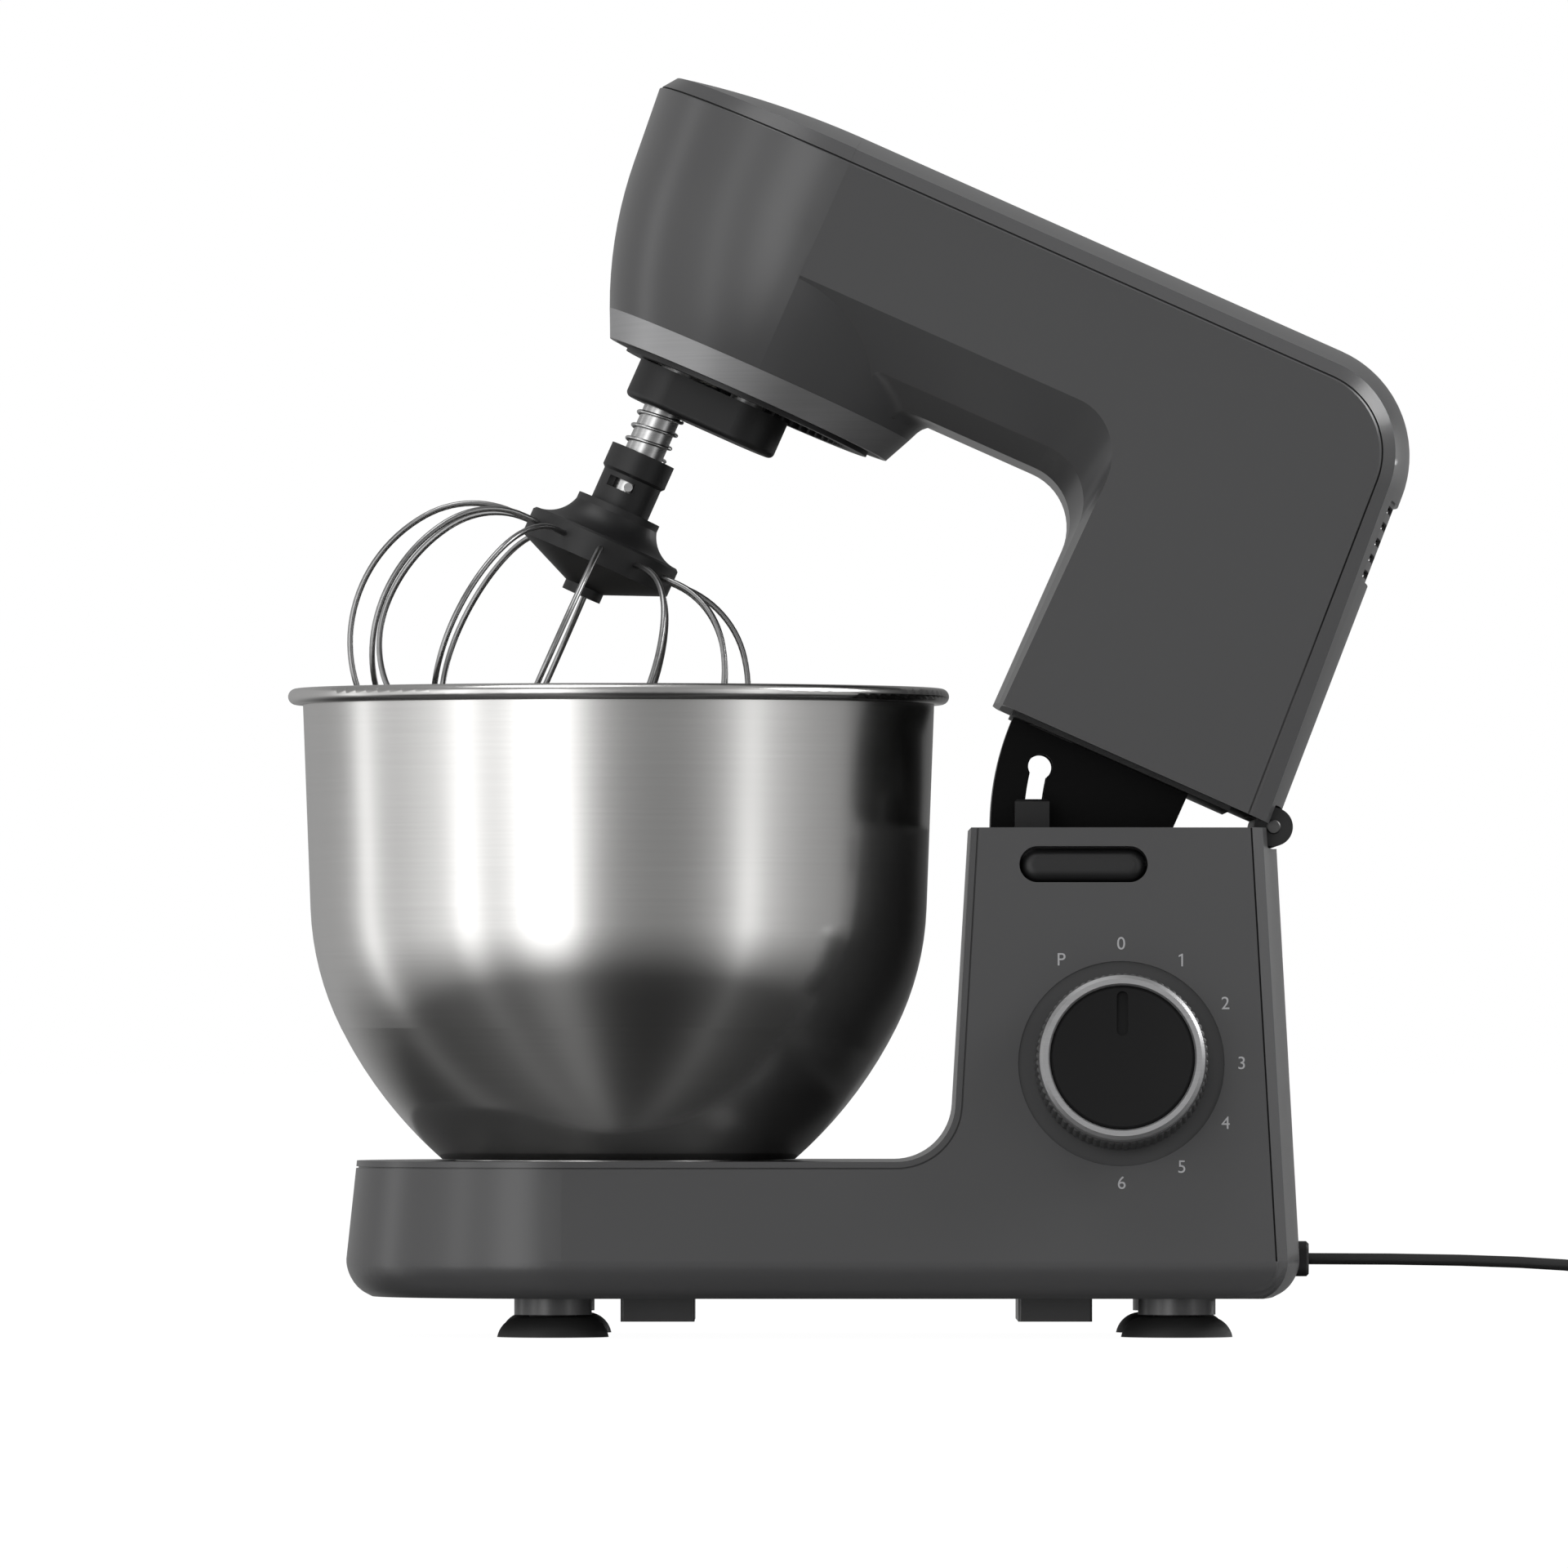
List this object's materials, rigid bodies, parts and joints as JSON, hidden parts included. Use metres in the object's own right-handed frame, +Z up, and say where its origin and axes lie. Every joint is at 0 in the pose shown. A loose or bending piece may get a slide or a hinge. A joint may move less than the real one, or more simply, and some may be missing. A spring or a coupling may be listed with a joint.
{
  "type": "stand mixer",
  "caption": "Tilt-head kitchen stand mixer with a steel bowl, planetary wire whisk, speed knob, head release button and suction feet, its head raised.",
  "frame": {"origin": "centre of the mixer's footprint box, on the surface that its feet stand on", "axes": "+Z up, +X from the bowl towards the hinge and the cord, -Y the side with the knob"},
  "size_m": [0.569, 0.2266, 0.4306],
  "materials": {
    "body_plastic": "satin grey lacquer",
    "dark_plastic": "fine matt grain",
    "silver_trim": "satin silver",
    "bowl_steel": "polished steel",
    "steel": "plain steel",
    "cast_metal": "die cast",
    "bronze": "sintered",
    "gear_plastic": "moulded",
    "rubber": "matt",
    "cord_rubber": "matt sheath",
    "board": "lacquered board"
  },
  "bodies": {
    "base": {"base_shell": "body_plastic", "base_deck": "body_plastic", "rear_cover": "body_plastic", "bottom_tray": "dark_plastic", "tray_screws": "steel", "suction_feet": "rubber", "bowl_seat": "dark_plastic", "hinge_bracket": "steel", "hinge_pin": "steel", "dial_ring": "dark_plastic", "speed_switch": "dark_plastic", "control_board": "board", "latch_guide": "dark_plastic", "interlock_post": "dark_plastic", "cord_gland": "dark_plastic", "cord_lead": "cord_rubber", "cord_coil": "cord_rubber", "cord_tie": "cord_rubber", "plug_body": "dark_plastic", "plug_pins": "steel"},
    "bowl": {"bowl": "bowl_steel", "bowl_foot": "bowl_steel"},
    "knob": {"knob_ring": "silver_trim", "knob_cap": "dark_plastic", "knob_spindle": "steel"},
    "release": {"release_button": "dark_plastic", "lock_pin": "steel"},
    "head": {"head_housing": "body_plastic", "head_cover": "body_plastic", "head_floor": "dark_plastic", "hinge_knuckle": "steel", "lock_tongue": "dark_plastic", "interlock_switch": "dark_plastic", "trim_band": "silver_trim", "underside_plate": "dark_plastic", "ring_gear": "gear_plastic", "gear_case": "cast_metal", "main_bush": "bronze", "motor_stator": "steel", "motor_bracket": "dark_plastic", "motor_bearings": "bronze", "drive_belt": "rubber"},
    "motor": {"motor_shaft": "steel", "motor_armature": "steel", "cooling_fan": "dark_plastic", "motor_pulley": "gear_plastic"},
    "layshaft": {"layshaft": "steel", "layshaft_pinion": "gear_plastic", "layshaft_pulley": "gear_plastic"},
    "hub": {"planet_carrier": "dark_plastic", "main_shaft": "steel", "drive_gear": "gear_plastic"},
    "beater": {"beater_shaft": "steel", "planet_pinion": "gear_plastic", "cross_pin": "steel", "shaft_spring": "steel"},
    "whisk": {"whisk_socket": "dark_plastic", "whisk_hub": "dark_plastic", "whisk_wires": "bowl_steel"}
  },
  "joints": [
    {"name": "head_tilt", "type": "hinge", "parent": "base", "child": "head", "pos_m": [0.1443, 0, 0.1735], "axis": [0, 1, 0], "range_deg": [-24, 0]},
    {"name": "bowl_twist", "type": "hinge", "parent": "base", "child": "bowl", "pos_m": [-0.079, 0, 0.06], "axis": [0, 0, 1], "range_deg": [0, 45]},
    {"name": "speed_knob", "type": "hinge", "parent": "base", "child": "knob", "pos_m": [0.0921, -0.06741, 0.093], "axis": [0, 0.9943, -0.1067], "range_deg": [-30, 180]},
    {"name": "release_press", "type": "slide", "parent": "base", "child": "release", "axis": [0, 0.9943, -0.1067], "range_m": [0, 0.004], "stiffness_N_per_m": 500, "springref_m": -0.004},
    {"name": "hub_spin", "type": "hinge", "parent": "head", "child": "hub", "pos_m": [-0.03529, 0, 0.31914], "axis": [0.4067, 0, 0.9135], "continuous": true},
    {"name": "motor_spin", "type": "hinge", "parent": "head", "child": "motor", "pos_m": [0.11846, 0, 0.25068], "axis": [0.4067, 0, 0.9135], "continuous": true},
    {"name": "layshaft_spin", "type": "hinge", "parent": "head", "child": "layshaft", "pos_m": [-0.00103, 0, 0.30388], "axis": [0.4067, 0, 0.9135], "continuous": true},
    {"name": "beater_spin", "type": "hinge", "parent": "hub", "child": "beater", "pos_m": [-0.05813, 0, 0.32931], "axis": [0.4067, 0, 0.9135], "continuous": true},
    {"name": "whisk_twist", "type": "hinge", "parent": "beater", "child": "whisk", "pos_m": [-0.07562, 0, 0.29002], "axis": [0.4067, 0, 0.9135], "range_deg": [0, 35]}
  ],
  "couplings": [
    {"joint": "beater_spin", "follows": "hub_spin", "ratio": -3},
    {"joint": "layshaft_spin", "follows": "hub_spin", "ratio": -4},
    {"joint": "motor_spin", "follows": "hub_spin", "ratio": -12}
  ]
}
